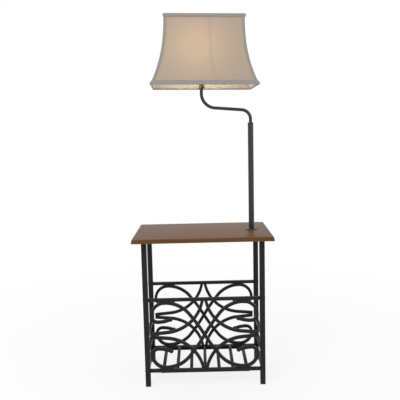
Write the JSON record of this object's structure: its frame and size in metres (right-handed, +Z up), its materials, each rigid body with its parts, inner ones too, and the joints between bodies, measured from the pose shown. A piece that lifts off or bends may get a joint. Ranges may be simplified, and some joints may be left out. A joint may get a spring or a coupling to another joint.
{
  "type": "floor lamp with table",
  "caption": "Floor lamp standing on a small side table: swivelling arm with a flared rectangular shade, wooden top and a scrolled metal magazine rack below.",
  "frame": {"origin": "on the floor, midway between the four legs", "axes": "+Z up, -Y towards the front, +X to the right, where the pole stands"},
  "size_m": [0.54, 0.35, 1.4405],
  "materials": {
    "black_metal": "satin",
    "wood_top": "semi-gloss",
    "black_plastic": "matte",
    "zinc_steel": "plain",
    "brass_parts": "satin",
    "moulded_insulator": "gloss",
    "bulb_metal": "satin",
    "bulb_glass": "frosted",
    "shade_fabric": "matte",
    "shade_lining": "matte",
    "shade_trim": "matte",
    "shade_wire": "satin"
  },
  "bodies": {
    "table": {"table_top": "wood_top", "leg_front_left": "black_metal", "leg_front_right": "black_metal", "leg_rear_left": "black_metal", "leg_rear_right": "black_metal", "foot_plugs": "black_plastic", "top_rails": "black_metal", "side_rails_left": "black_metal", "side_rails_right": "black_metal", "bar_front_low": "black_metal", "bar_front_high": "black_metal", "bar_rear_low": "black_metal", "bar_rear_high": "black_metal", "bar_inserts": "zinc_steel", "frame_bolts": "black_metal", "scroll_front_a": "black_metal", "scroll_front_b": "black_metal", "scroll_rear_a": "black_metal", "scroll_rear_b": "black_metal", "curves_front_high": "black_metal", "curves_front_low": "black_metal", "curves_rear_high": "black_metal", "curves_rear_low": "black_metal", "floor_bar_1": "black_metal", "floor_bar_2": "black_metal", "floor_bar_3": "black_metal", "floor_bar_4": "black_metal", "floor_bar_5": "black_metal", "floor_bar_6": "black_metal", "floor_bar_7": "black_metal", "floor_strips": "black_metal", "rack_screws": "black_metal", "table_screws": "zinc_steel", "pole_flange": "black_metal", "pole_tube": "black_metal", "pole_nipple": "zinc_steel", "pole_lock": "zinc_steel", "cord_bushing": "black_plastic", "pole_cap": "black_metal"},
    "arm": {"arm_tube": "black_metal", "swivel_pin": "zinc_steel", "harp_saddle": "brass_parts", "socket_cap": "brass_parts", "socket_shell": "brass_parts", "socket_core": "moulded_insulator", "bulb_base": "bulb_metal", "bulb_glass": "bulb_glass", "harp": "brass_parts", "finial": "brass_parts"},
    "shade": {"shade_spider": "shade_wire", "shade_frame": "shade_wire", "shade_front": "shade_fabric", "shade_rear": "shade_fabric", "shade_left": "shade_fabric", "shade_right": "shade_fabric", "shade_lining": "shade_lining", "shade_trim_top": "shade_trim", "shade_trim_foot": "shade_trim", "shade_trim_corners": "shade_trim"},
    "switch_knob": {"switch_knob": "black_plastic"}
  },
  "joints": [
    {"name": "arm_swivel", "type": "hinge", "parent": "table", "child": "arm", "pos_m": [0.201, 0.009, 1.035], "axis": [0, 0, 1], "range_deg": [-150, 150]},
    {"name": "shade_turn", "type": "hinge", "parent": "arm", "child": "shade", "pos_m": [0.02022, 0.009, 1.41409], "axis": [0.0157, 0, 0.9999], "continuous": true},
    {"name": "switch_knob_turn", "type": "hinge", "parent": "arm", "child": "switch_knob", "pos_m": [0.00984, 0.009, 1.19804], "axis": [0.9988, 0, -0.048], "continuous": true}
  ]
}
